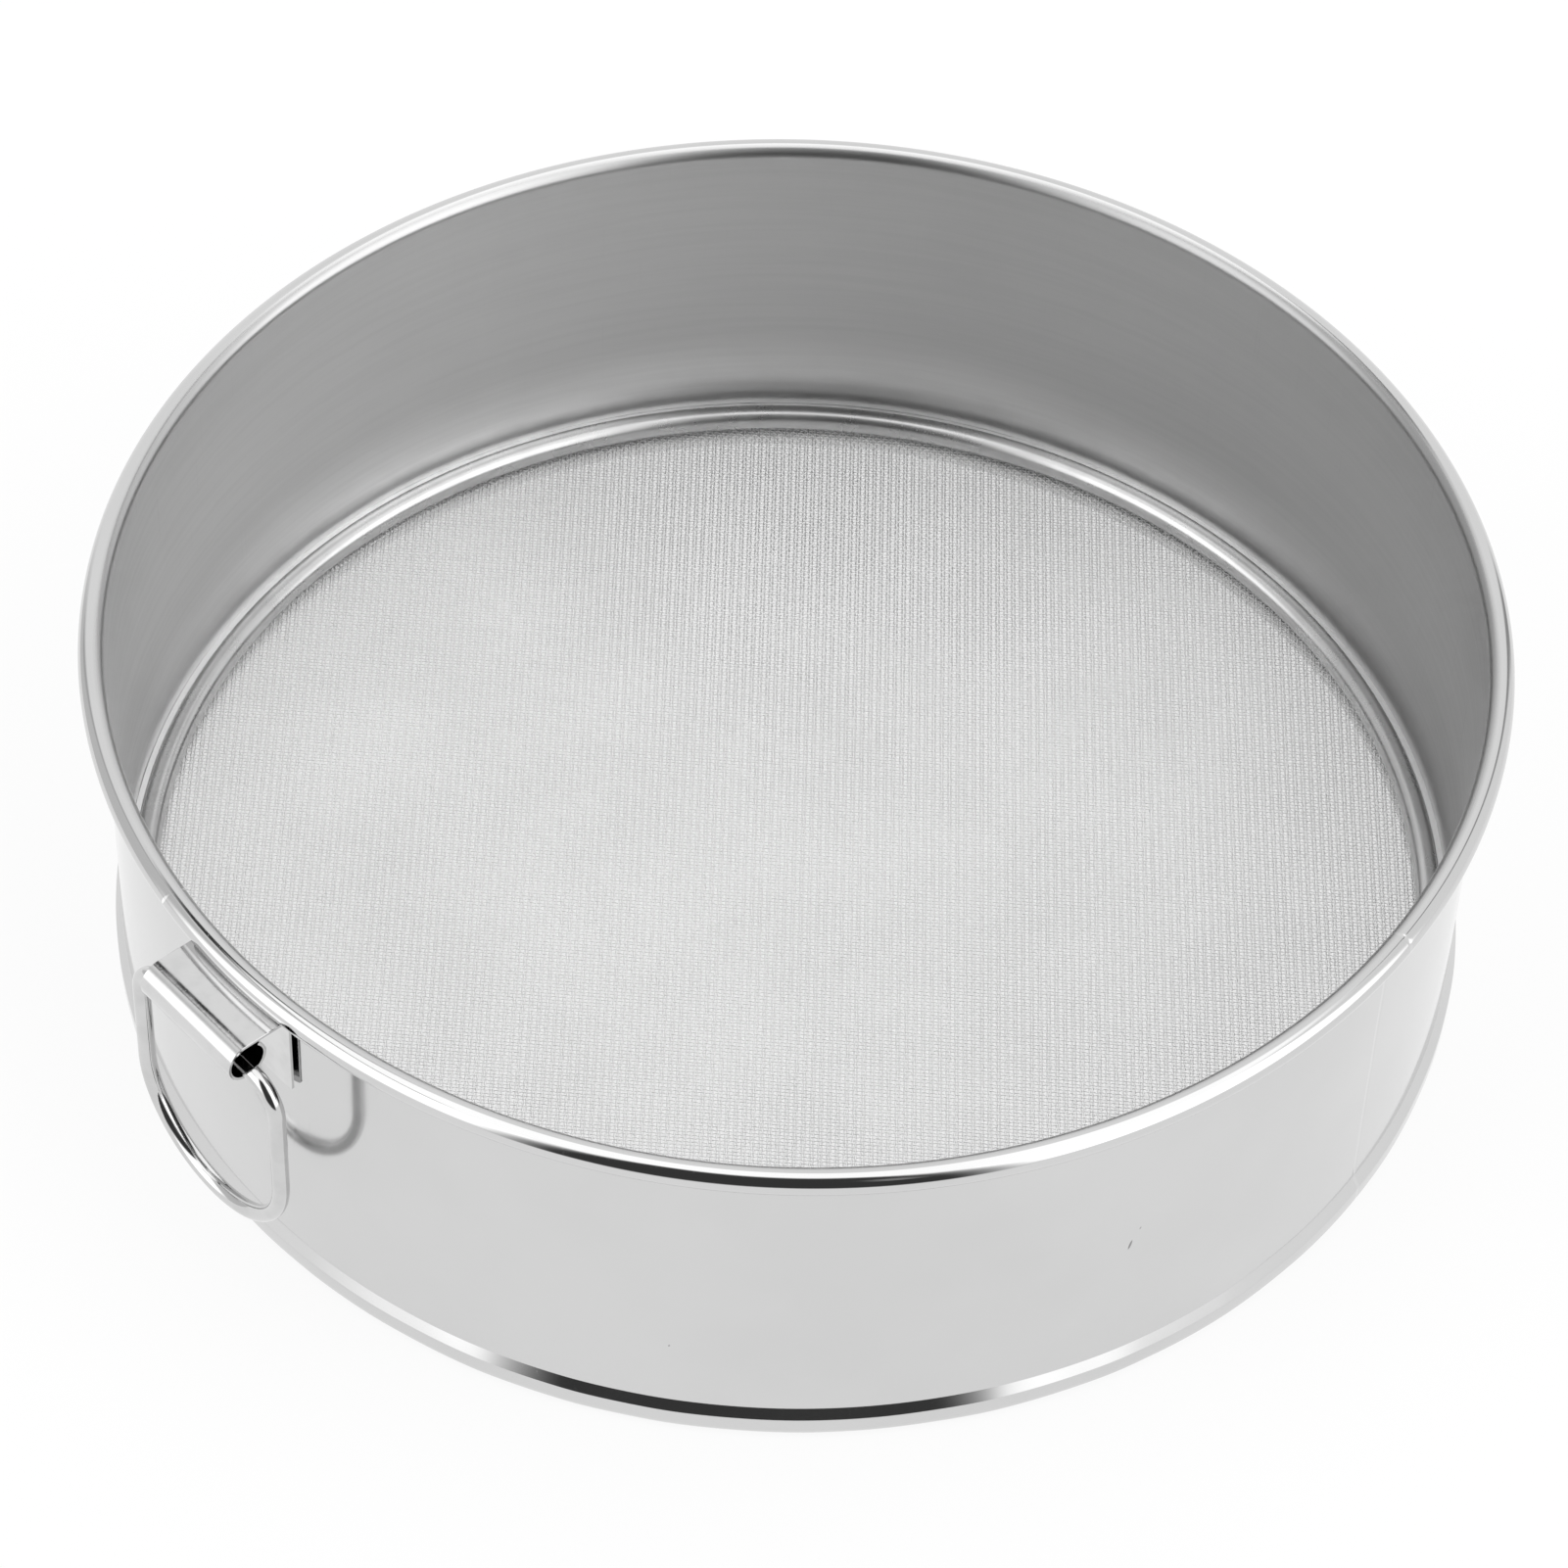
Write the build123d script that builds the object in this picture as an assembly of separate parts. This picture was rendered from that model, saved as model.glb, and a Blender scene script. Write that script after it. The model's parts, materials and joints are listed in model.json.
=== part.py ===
from build123d import *
import math
import os

# Tamis drum sieve. Lengths are millimetres and angles are degrees.
# The origin is the centre of the drum on the surface that it stands on, with +Z up the drum's axis.

# Drum: one strip of sheet, rolled to a hoop
rim_diameter = 250.0
drum_height = 73.6
wall_gauge = 0.6

# Rim bead: the top of the strip, rolled outward over a wire
rim_bead_radius = 2.3
rim_curl_gap = 0.15
rim_wire_play = 0.15

# Foot: below a sloping shoulder the strip stands out, then turns in as a hem with a flat underside
foot_bulge = 1.3
foot_shoulder_height = 4.7
foot_shoulder_angle = 33.0
foot_heel_radius = 2.6
foot_edge_radius = 0.8
foot_neck_radius = 0.5
hem_height = 3.3
hem_lap = 2.0

# Mesh screen: warp and weft wires as two crossing layers, with the edge turned up.
# The azimuths are the directions across the wires.
mesh_wire_thickness = 0.55
mesh_wire_pitch = 1.4966
mesh_layer_play = 0.05
warp_azimuth = 0.35
weft_azimuth = 87.4
mesh_edge_height = 3.9
mesh_bend_radius = 1.5
mesh_edge_play = 0.05

# Retaining ring: round wire that jams the turned-up mesh edge against the wall
retaining_wire_radius = 2.3
retaining_ring_play = 0.05

# Hanger bracket: bent sheet under the rim bead, curled outward into an open eye
bracket_azimuth = 222.7
bracket_width = 24.0
bracket_gauge = 0.6
bracket_drop = 0.45
bracket_wall_play = 0.02
bracket_bend_radius = 2.4
bracket_flange_length = 18.4
bracket_corner_radius = 2.5
eye_reach = 9.1
eye_radius = 3.9
eye_wrap = 318.0

# Hanging ring: D of round wire that hangs in the eye
ring_wire_radius = 1.5
ring_half_width = 18.5
ring_corner_radius = 6.0
ring_drop = 24.0
ring_slide = 0.8
ring_seat_play = 0.05

# Sizes that follow
rim_bead_centre_radius = rim_diameter / 2 - rim_bead_radius
rim_bead_height = drum_height - rim_bead_radius
wall_inner_radius = rim_bead_centre_radius - rim_bead_radius
wall_outer_radius = wall_inner_radius + wall_gauge
rim_cavity_radius = rim_bead_radius - wall_gauge
rim_wire_radius = rim_cavity_radius - rim_wire_play

mesh_edge_radius = wall_inner_radius - mesh_edge_play
mesh_thickness = 2 * mesh_wire_thickness
mesh_top = hem_height + mesh_thickness
retaining_ring_outer = mesh_edge_radius - mesh_thickness - retaining_ring_play
retaining_ring_radius = retaining_ring_outer - retaining_wire_radius
retaining_ring_height = mesh_top + retaining_ring_play + retaining_wire_radius

leaf_top = rim_bead_height - rim_bead_radius - bracket_drop
eye_height = leaf_top - eye_radius
eye_inner_radius = eye_radius - bracket_gauge
hinge_height = eye_height - eye_inner_radius + ring_seat_play + ring_wire_radius

# Headings in a profile drawn with the radius across and Z up, and turns
OUTWARD = 0
UPWARD = 90
INWARD = 180
QUARTER_TURN = 90
HALF_TURN = 180


def toward(heading, distance):
    """The step of that distance along a heading in a profile."""
    angle = math.radians(heading)
    return Vector(distance * math.cos(angle), distance * math.sin(angle))


def bent_sheet(start, heading, steps, gauge):
    """Section of a bent sheet, as a face, with the sheet to the left of the path.

    Each step is a radius and a turn, left turns positive; a radius of None makes the other number a
    straight length. A negative gauge puts the sheet to the right.
    """
    place = Vector(*start)
    across = toward(heading + QUARTER_TURN, gauge)
    edges = [Line(place, place + across)]
    for radius, amount in steps:
        if radius is None:
            end = place + toward(heading, amount)
            edges.append(Line(place, end))
            edges.append(Line(place + across, end + across))
            place = end
            continue
        side = math.copysign(1, amount)
        centre = place + toward(heading + side * QUARTER_TURN, radius)
        first = heading - side * QUARTER_TURN
        edges.append(CenterArc(centre, radius, first, amount))
        edges.append(CenterArc(centre, radius - side * gauge, first, amount))
        heading += amount
        place = centre + toward(heading - side * QUARTER_TURN, radius)
        across = toward(heading + QUARTER_TURN, gauge)
    edges.append(Line(place, place + across))
    return Plane.XZ * make_face(edges)


def turned(section):
    """The section spun once round the drum's axis."""
    return revolve(section, Axis.Z)


def make_drum_wall():
    """The hoop: flat-footed hem, foot, plain wall and rolled rim bead, in one section."""
    hem_radius = hem_height / 2
    heel_centre = wall_outer_radius + foot_bulge - foot_heel_radius

    # The straight shoulder covers what its two arcs leave of the bulge
    slope = math.radians(foot_shoulder_angle)
    arcs = foot_edge_radius + foot_neck_radius
    shoulder = (foot_bulge - arcs * (1 - math.cos(slope))) / math.sin(slope)
    neck_top = foot_shoulder_height + arcs * math.sin(slope) + shoulder * math.cos(slope)

    # The rolled rim stops just short of the wall
    curl_end = (rim_bead_radius - wall_gauge - rim_curl_gap) / rim_bead_radius
    rim_turn = HALF_TURN + math.degrees(math.acos(-curl_end))

    steps = [
        (None, hem_lap),
        (hem_radius, HALF_TURN),
        (None, heel_centre - retaining_ring_radius),
        (foot_heel_radius, QUARTER_TURN),
        (None, foot_shoulder_height - foot_heel_radius),
        (foot_edge_radius, foot_shoulder_angle),
        (None, shoulder),
        (foot_neck_radius, -foot_shoulder_angle),
        (None, rim_bead_height - neck_top),
        (rim_cavity_radius, -rim_turn),
    ]
    return turned(bent_sheet((retaining_ring_radius + hem_lap, hem_height), INWARD, steps, wall_gauge))


def make_top_rim_wire():
    """The wire inside the rim bead."""
    return Pos(0, 0, rim_bead_height) * Torus(rim_bead_centre_radius, rim_wire_radius)


def make_wire_layer(bottom, turn):
    """One layer of wires: a disc with a row of gaps cut through it, along that turn."""
    half_gap = (mesh_wire_pitch - mesh_wire_thickness) / 2
    rows = math.floor(2 * (retaining_ring_radius - 2 * retaining_wire_radius) / mesh_wire_pitch)
    gap_radius = retaining_ring_radius - retaining_wire_radius / 2
    gaps = []
    for row in range(rows):
        middle = (row - (rows - 1) / 2) * mesh_wire_pitch
        reach = math.sqrt(gap_radius**2 - (abs(middle) + half_gap) ** 2)
        gap = Pos(middle, 0) * Rectangle(2 * half_gap, 2 * reach)
        gaps.append(gap.wire())
    disc = Face(Circle(retaining_ring_radius).wire(), gaps)
    layer = extrude(disc, mesh_wire_thickness - mesh_layer_play / 2)
    return Rot(0, 0, turn) * Pos(0, 0, bottom) * layer


def make_mesh_screen():
    """The screen: weft wires, warp wires over them, and the turned-up edge that joins them."""
    steps = [
        (None, mesh_edge_radius - mesh_bend_radius - retaining_ring_radius),
        (mesh_bend_radius, QUARTER_TURN),
        (None, mesh_edge_height - mesh_bend_radius),
    ]
    edge = turned(bent_sheet((retaining_ring_radius, hem_height), OUTWARD, steps, mesh_thickness))
    weft = make_wire_layer(hem_height, weft_azimuth)
    warp = make_wire_layer(hem_height + mesh_wire_thickness + mesh_layer_play / 2, warp_azimuth)
    return edge + weft + warp


def make_retaining_ring():
    """The wire ring that lies on the mesh."""
    return Pos(0, 0, retaining_ring_height) * Torus(retaining_ring_radius, retaining_wire_radius)


def at_bracket(shape):
    """Turns a shape made with X outward from the wall and Y along it to the bracket's place."""
    return Rot(0, 0, bracket_azimuth) * Pos(wall_outer_radius, 0, 0) * shape


def make_hanger_bracket():
    """The clip: flange on the wall, bend, level leaf, and an eye curled outward and back under."""
    flange_foot = leaf_top - bracket_flange_length
    steps = [
        (None, bracket_flange_length - bracket_bend_radius),
        (bracket_bend_radius, -QUARTER_TURN),
        (None, eye_reach - bracket_bend_radius - bracket_wall_play),
        (eye_radius, -eye_wrap),
    ]
    section = bent_sheet((bracket_wall_play, flange_foot), UPWARD, steps, -bracket_gauge)
    clip = extrude(section, bracket_width / 2, both=True)
    lower_corners = clip.edges().filter_by(Axis.X).group_by(Axis.Z)[0]
    return at_bracket(fillet(lower_corners, bracket_corner_radius))


def make_hanging_ring():
    """The D ring, hanging straight down from its bar and slid a little along it, in one closed sweep."""
    half_bar = ring_half_width - ring_corner_radius
    corner = ring_corner_radius
    side = ring_half_width
    bar = Line((-half_bar, 0), (half_bar, 0))
    right_corner = CenterArc((half_bar, -corner), corner, UPWARD, -QUARTER_TURN)
    right_leg = Line((side, -corner), (side, -ring_drop))
    bow = CenterArc((0, -ring_drop), side, OUTWARD, -HALF_TURN)
    left_leg = Line((-side, -ring_drop), (-side, -corner))
    left_corner = CenterArc((-half_bar, -corner), corner, INWARD, -QUARTER_TURN)
    path = Plane.YZ * Wire([bar, right_corner, right_leg, bow, left_leg, left_corner])
    section = Pos(0, -half_bar, 0) * (Plane.XZ * Circle(ring_wire_radius))
    return at_bracket(Pos(eye_reach, ring_slide, hinge_height) * sweep(section, path))


parts = {
    "drum_wall": make_drum_wall,
    "top_rim_wire": make_top_rim_wire,
    "mesh_screen": make_mesh_screen,
    "retaining_ring": make_retaining_ring,
    "hanger_bracket": make_hanger_bracket,
    "hanging_ring": make_hanging_ring,
}

os.makedirs("parts", exist_ok=True)
for name, make in parts.items():
    solid = make()
    export_step(solid, f"parts/{name}.step")
    print(f"{name}: {solid.volume:.1f} mm3, {solid.bounding_box()}")

ring_length = (
    2 * (ring_half_width - ring_corner_radius)
    + math.pi * (ring_corner_radius + ring_half_width)
    + 2 * (ring_drop - ring_corner_radius)
)
print(f"hanging ring by section and length: {math.pi * ring_wire_radius**2 * ring_length:.1f} mm3")
print(f"hinge height {hinge_height:.3f}, ring plane {wall_outer_radius + eye_reach:.3f} from the axis")
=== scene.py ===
# Stainless steel drum sieve: the visible pieces and their finishes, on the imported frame.
# Lengths are metres. The drum stands on Z = 0 with its axis on Z.
import json
import math
import random

import bmesh
import bpy
from bpy.props import FloatProperty, FloatVectorProperty, PointerProperty
from mathutils import Matrix, Vector, noise


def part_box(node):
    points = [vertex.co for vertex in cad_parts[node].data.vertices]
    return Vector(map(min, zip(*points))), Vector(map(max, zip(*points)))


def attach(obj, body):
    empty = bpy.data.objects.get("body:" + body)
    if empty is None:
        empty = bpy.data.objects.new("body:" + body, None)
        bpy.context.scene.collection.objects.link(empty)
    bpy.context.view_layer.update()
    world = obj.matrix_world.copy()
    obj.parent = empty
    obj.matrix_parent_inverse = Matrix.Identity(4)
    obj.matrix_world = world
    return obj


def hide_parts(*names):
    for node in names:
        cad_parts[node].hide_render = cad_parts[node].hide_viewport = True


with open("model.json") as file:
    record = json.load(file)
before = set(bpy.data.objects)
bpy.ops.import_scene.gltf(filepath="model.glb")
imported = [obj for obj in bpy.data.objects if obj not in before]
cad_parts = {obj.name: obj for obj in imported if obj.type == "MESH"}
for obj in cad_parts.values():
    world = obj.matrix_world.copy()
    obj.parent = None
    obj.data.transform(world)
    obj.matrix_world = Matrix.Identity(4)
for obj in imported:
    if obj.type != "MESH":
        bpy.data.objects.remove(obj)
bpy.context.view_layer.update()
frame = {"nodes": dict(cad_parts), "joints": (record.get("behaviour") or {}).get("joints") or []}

bl_info = {
    "name": "Drum sieve",
    "version": (1, 0, 0),
    "blender": (4, 5, 0),
    "location": "3D View > Sidebar > Drum Sieve",
    "description": "Builds the steel pieces of a drum sieve and the studio it is shown in",
    "category": "Add Mesh",
}

MILLIMETRE = 0.001
SEED = 7

# Headings in a profile drawn with the radius across and Z up
OUTWARD = 0.0
UPWARD = math.pi / 2
INWARD = math.pi
QUARTER_TURN = math.pi / 2
HALF_TURN = math.pi

SHARP_ANGLE = math.radians(20)
SHEARED_ANGLE = math.radians(60)
MERGE_DISTANCE = 2e-6
TOUCH = 1e-6
EDGE_PLAY = 0.00005

# How finely round and straight runs are divided
ARC_STEP = math.radians(9)
HOOP_RUN_STEP = 0.004
CLIP_RUN_STEP = 0.0005
SCREEN_ARC_STEP = math.radians(15)
SCREEN_RUN_STEP = 0.001
HOOP_STEPS = 480
RING_STEPS = 360
CLAMP_WIRE_SIDES = 28
PULL_WIRE_SIDES = 32
CORNER_STEPS = 20
BOW_STEPS = 96
CLIP_CORNER_STEPS = 8
FLOOR_SIDES = 96

# The wires of each way are shared out over this many pieces, which keeps each piece light
WIRE_PIECES = 4


def rounded(length, places):
    """A length read from the frame, which is faceted, rounded in millimetres."""
    return round(length / MILLIMETRE, places) * MILLIMETRE


DRUM_LOW, DRUM_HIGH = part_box("drum_wall")
SCREEN_LOW, SCREEN_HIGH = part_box("mesh_screen")
CLAMP_LOW, CLAMP_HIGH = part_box("retaining_ring")
HINGE = Vector(frame["joints"][0]["pos_m"])


# Sizes and finishes that a user may change


def a_length(name, description, default):
    """A length in metres."""
    return FloatProperty(name=name, description=description, default=default, unit="LENGTH")


def an_angle(name, description, degrees):
    """An angle, given here in degrees."""
    return FloatProperty(
        name=name,
        description=description,
        default=math.radians(degrees),
        subtype="ANGLE",
        unit="ROTATION",
    )


def a_share(name, description, default):
    """A number between nought and one."""
    return FloatProperty(name=name, description=description, default=default, min=0.0, max=1.0)


def a_grey(name, description, level):
    """A colour, given here as one level of grey."""
    return FloatVectorProperty(
        name=name,
        description=description,
        default=(level, level, level),
        subtype="COLOR",
        min=0.0,
        max=1.0,
    )


class DrumSizes(bpy.types.PropertyGroup):
    """Sizes of the hoop."""

    diameter: a_length(
        "Rim diameter", "Outside diameter of the rim bead", rounded(DRUM_HIGH.x - DRUM_LOW.x, 0)
    )
    height: a_length("Height", "Height of the drum", rounded(DRUM_HIGH.z, 1))
    gauge: a_length("Sheet gauge", "Thickness of the strip", 0.0006)
    bead_radius: a_length("Bead radius", "Outside radius of the rolled rim", 0.0023)
    bead_gap: a_length("Bead gap", "Gap between the wall and the rolled edge", 0.00015)
    foot_bulge: a_length("Foot bulge", "How far the foot stands out", 0.0013)
    shoulder_height: a_length("Shoulder height", "Height where the foot's shoulder starts", 0.0047)
    shoulder_angle: an_angle(
        "Shoulder angle", "How far the foot's shoulder leans inward from upright", 33
    )
    heel_radius: a_length("Heel radius", "Radius under the foot", 0.0026)
    edge_radius: a_length("Edge radius", "Radius between the foot's side and shoulder", 0.0008)
    neck_radius: a_length("Neck radius", "Radius above the shoulder", 0.0005)
    hem_height: a_length(
        "Hem height", "Height of the turned-in hem, on which the screen lies", rounded(SCREEN_LOW.z, 1)
    )
    hem_lap: a_length("Hem lap", "Level edge of the hem", 0.002)
    seam_azimuth: an_angle("Seam azimuth", "Where the strip's ends are welded", 326.5)
    seam_width: a_length("Seam width", "Width of the ground weld", 0.0005)
    waviness: a_length("Waviness", "How far the hand-rolled strip strays from a true circle", 0.00012)


class ScreenSizes(bpy.types.PropertyGroup):
    """Sizes of the woven screen."""

    wire_diameter: a_length("Wire diameter", "Diameter of a mesh wire", 0.00034)
    pitch: a_length("Pitch", "Distance between neighbouring wires", 0.0007483)
    pairing: a_length(
        "Pairing", "How far the warp wires lean together in pairs, as the loom leaves them", 0.00009
    )
    warp_turn: an_angle("Warp turn", "Direction across the warp wires", 0.35)
    weft_turn: an_angle("Weft turn", "Direction across the weft wires", 87.4)
    bend: a_length("Edge bend", "Outside radius of the turned-up edge", 0.0015)
    stray: a_length("Stray", "How far a wire wanders sideways", 0.00003)


class RingSizes(bpy.types.PropertyGroup):
    """Sizes of the clamp ring and of the pull ring."""

    clamp_radius: a_length(
        "Clamp wire radius",
        "Radius of the wire that holds the screen down",
        rounded((CLAMP_HIGH.z - CLAMP_LOW.z) / 2, 1),
    )
    clamp_diameter: a_length(
        "Clamp ring diameter",
        "Diameter of the clamp ring, middle to middle",
        rounded(CLAMP_HIGH.x - CLAMP_LOW.x, 1) - rounded(CLAMP_HIGH.z - CLAMP_LOW.z, 1),
    )
    pull_radius: a_length("Pull wire radius", "Radius of the pull ring's wire", 0.0015)
    half_width: a_length("Half width", "Half width of the pull ring", 0.0185)
    corner: a_length("Corner radius", "Radius of the pull ring's corners", 0.006)
    drop: a_length("Drop", "From the bar to the bow's centre", 0.024)
    slide: a_length("Slide", "How far the pull ring has slid along its bar", 0.0008)


class ClipSizes(bpy.types.PropertyGroup):
    """Sizes of the clip that carries the pull ring."""

    width: a_length("Width", "Width of the clip", 0.024)
    gauge: a_length("Gauge", "Thickness of the clip", 0.0006)
    play: a_length("Play", "Gap between the clip and the drum", 0.00002)
    top: a_length("Leaf height", "Height of the clip's level leaf", 0.06855)
    flange: a_length("Flange length", "Length of the upright flange", 0.0184)
    bend: a_length("Bend radius", "Radius between flange and leaf", 0.0024)
    eye_radius: a_length("Eye radius", "Outside radius of the eye", 0.0039)
    eye_wrap: an_angle("Eye wrap", "How far round the eye is curled", 318)
    corner: a_length("Corner radius", "Radius of the lower corners", 0.0025)
    edge: a_length("Edge", "Bevel that takes the sharpness off the edges", 0.0001)


class SteelFinish(bpy.types.PropertyGroup):
    """Colours and gloss of the steel."""

    sheet_colour: a_grey("Sheet colour", "Colour of the polished sheet", 0.65)
    satin_colour: a_grey("Satin colour", "Colour of the inner wall", 0.545)
    wire_colour: a_grey("Mesh wire colour", "Colour of the woven wire", 0.92)
    polish: a_share("Polish", "Roughness of the polished steel", 0.07)
    satin: a_share("Satin", "Roughness of the inner wall", 0.33)
    drawn: a_share("Drawn wire", "Roughness of the mesh wire", 0.5)
    clamp: a_share("Clamp wire", "Roughness of the clamp ring", 0.27)


class StudioSettings(bpy.types.PropertyGroup):
    """Floor, light and camera."""

    floor_colour: a_grey("Floor colour", "Colour of the floor", 0.93)
    floor_glow: a_share(
        "Paper white", "Share of plain white that the lens and the steel see in the floor", 0.88
    )
    under_drum: a_share(
        "Under the drum", "Share of the paper's white that is left in the drum's shade", 0.72
    )
    shade_blur: a_length("Shade blur", "Width of the edge of the drum's shade", 0.004)
    floor_radius: a_length("Floor radius", "Radius of the paper on the table", 0.55)
    lens: FloatProperty(name="Lens", description="Focal length in millimetres", default=133.27)
    place: FloatVectorProperty(
        name="Camera place",
        description="Where the camera stands",
        default=(-0.00133, -0.6953, 0.8072),
        subtype="TRANSLATION",
        unit="LENGTH",
    )
    tilt: an_angle("Tilt", "Angle of the camera from straight down", 41.8)
    roll: an_angle("Roll", "Turn of the camera about its own line of sight", 2.25)


class SieveSettings(bpy.types.PropertyGroup):
    """Everything that a user may change on the sieve."""

    drum: PointerProperty(type=DrumSizes)
    screen: PointerProperty(type=ScreenSizes)
    rings: PointerProperty(type=RingSizes)
    clip: PointerProperty(type=ClipSizes)
    finish: PointerProperty(type=SteelFinish)
    studio: PointerProperty(type=StudioSettings)


# Profiles and sections


def toward(heading):
    """The direction of a heading in a profile."""
    return Vector((math.cos(heading), 0, math.sin(heading)))


def draw_profile(bm, start, heading, steps, arc_step, run_step):
    """Draws a line in the XZ plane from one vertex, extruded along straights and spun round arcs.

    Each step is a radius and a turn, left turns positive; a radius of None makes the other number a
    straight length, and a radius of nought a corner. Where the line's ends meet they are merged.
    """
    tip = bmesh.ops.create_vert(bm, co=(start[0], 0, start[1]))["vert"][0]
    for radius, amount in steps:
        if radius is None:
            pieces = max(1, round(amount / run_step))
            for _ in range(pieces):
                grown = bmesh.ops.extrude_vert_indiv(bm, verts=[tip])["verts"][0]
                bmesh.ops.translate(bm, verts=[grown], vec=toward(heading) * (amount / pieces))
                tip = grown
            continue
        if radius > 0:
            side = math.copysign(1, amount)
            centre = tip.co + toward(heading + side * QUARTER_TURN) * radius
            pieces = max(2, round(abs(amount) / arc_step))
            tip = bmesh.ops.spin(
                bm, geom=[tip], cent=centre, axis=(0, -1, 0), angle=amount, steps=pieces
            )["geom_last"][0]
        heading += amount
    bmesh.ops.remove_doubles(bm, verts=bm.verts[:], dist=MERGE_DISTANCE)


def both_skins(steps, gauge):
    """The steps that go along one skin of a bent sheet, across its edge and back along the other.

    The sheet lies to the left of the path, or to the right where the gauge is negative.
    """
    side = math.copysign(1, gauge)
    edge = [(0, side * QUARTER_TURN), (None, abs(gauge)), (0, side * QUARTER_TURN)]
    back = [
        (radius, amount) if radius is None else (radius - math.copysign(gauge, amount * gauge), -amount)
        for radius, amount in reversed(steps)
    ]
    return [*steps, *edge, *back, *edge]


def spin_round(bm, steps):
    """Spins the section once round the drum's axis."""
    bmesh.ops.spin(
        bm,
        geom=bm.verts[:] + bm.edges[:],
        cent=(0, 0, 0),
        axis=(0, 0, 1),
        angle=math.tau,
        steps=steps,
        use_merge=True,
    )


def close_up(bm):
    """Merges what meets, and turns every face outward."""
    bmesh.ops.remove_doubles(bm, verts=bm.verts[:], dist=MERGE_DISTANCE)
    bmesh.ops.recalc_face_normals(bm, faces=bm.faces[:])


def as_piece(bm, name, material, body, slot, *nodes):
    """Makes the finished mesh a piece that rides on a body and stands for its CAD nodes."""
    for face in bm.faces:
        face.smooth = True
    for edge in bm.edges:
        edge.smooth = edge.calc_face_angle(0.0) < SHARP_ANGLE
    mesh = bpy.data.meshes.new(name)
    bm.to_mesh(mesh)
    bm.free()
    mesh.materials.append(material)
    piece = bpy.data.objects.new(name, mesh)
    bpy.context.scene.collection.objects.link(piece)
    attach(piece, body)
    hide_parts(*nodes)
    return piece


# Nodes of the materials

UNROLLED_RADIUS = 0.12

# Small marks on the strip: azimuth in degrees, height, half width, half length, and how dark, or how
# light where the number is negative. A scuff, its end, a speck by the foot, and a nick on the bead.
MARK_LEAN = -0.25
MARKS = (
    (299.4, 0.0356, 0.0003, 0.0013, 0.75),
    (300.2, 0.0392, 0.0002, 0.0004, 0.4),
    (262.0, 0.0218, 0.0002, 0.0003, 0.5),
    (213.8, 0.0722, 0.0004, 0.0012, -1.0),
)


def add_node(tree, kind, settings=None, **inputs):
    """Adds a node; each input is a value or a socket to link, its name with _ for a space."""
    made = tree.nodes.new(kind)
    for name, value in (settings or {}).items():
        setattr(made, name, value)
    for name, value in inputs.items():
        join(tree, value, made.inputs[name.replace("_", " ")])
    return made


def join(tree, value, socket):
    """Links a socket to an input, or sets the input's value."""
    if isinstance(value, bpy.types.NodeSocket):
        tree.links.new(value, socket)
    else:
        socket.default_value = value


def reckon(tree, operation, *values):
    """The result of a Math node."""
    made = tree.nodes.new("ShaderNodeMath")
    made.operation = operation
    for value, socket in zip(values, made.inputs):
        join(tree, value, socket)
    return made.outputs[0]


def ramp(tree, value, low, high, to_low=0.0, to_high=1.0):
    """The value's place between low and high, eased at both ends."""
    made = add_node(
        tree,
        "ShaderNodeMapRange",
        {"interpolation_type": "SMOOTHSTEP"},
        Value=value,
        From_Min=low,
        From_Max=high,
        To_Min=to_low,
        To_Max=to_high,
    )
    return made.outputs["Result"]


def between(tree, share, first, second):
    """A number between two others."""
    made = tree.nodes.new("ShaderNodeMix")
    made.data_type = "FLOAT"
    for value, socket in zip((share, first, second), (made.inputs[0], made.inputs[2], made.inputs[3])):
        join(tree, value, socket)
    return made.outputs[0]


def tinted(tree, share, first, second):
    """A colour between two others."""
    made = tree.nodes.new("ShaderNodeMix")
    made.data_type = "RGBA"
    for value, socket in zip((share, first, second), (made.inputs[0], made.inputs[6], made.inputs[7])):
        join(tree, value, socket)
    return made.outputs[2]


def mottle(tree, vector, size, detail=3.0, stretch=(1, 1, 1)):
    """Noise whose blotches are about as large as size, longer along an axis where stretch is more."""
    scale = tuple(1 / (size * share) for share in stretch)
    placed = add_node(tree, "ShaderNodeMapping", {"vector_type": "POINT"}, Vector=vector, Scale=scale)
    made = add_node(
        tree, "ShaderNodeTexNoise", Vector=placed.outputs[0], Scale=1.0, Detail=detail, Roughness=0.55
    )
    return made.outputs[0]


def open_group(name, inputs, outputs):
    """Starts a node group with those inputs, each with its kind and default, and those outputs."""
    tree = bpy.data.node_groups.new(name, "ShaderNodeTree")
    for label, (kind, default) in inputs.items():
        socket = tree.interface.new_socket(label, in_out="INPUT", socket_type="NodeSocket" + kind)
        if default is not None:
            socket.default_value = default
    for label, kind in outputs.items():
        tree.interface.new_socket(label, in_out="OUTPUT", socket_type="NodeSocket" + kind)
    return tree, tree.nodes.new("NodeGroupInput"), tree.nodes.new("NodeGroupOutput")


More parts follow.
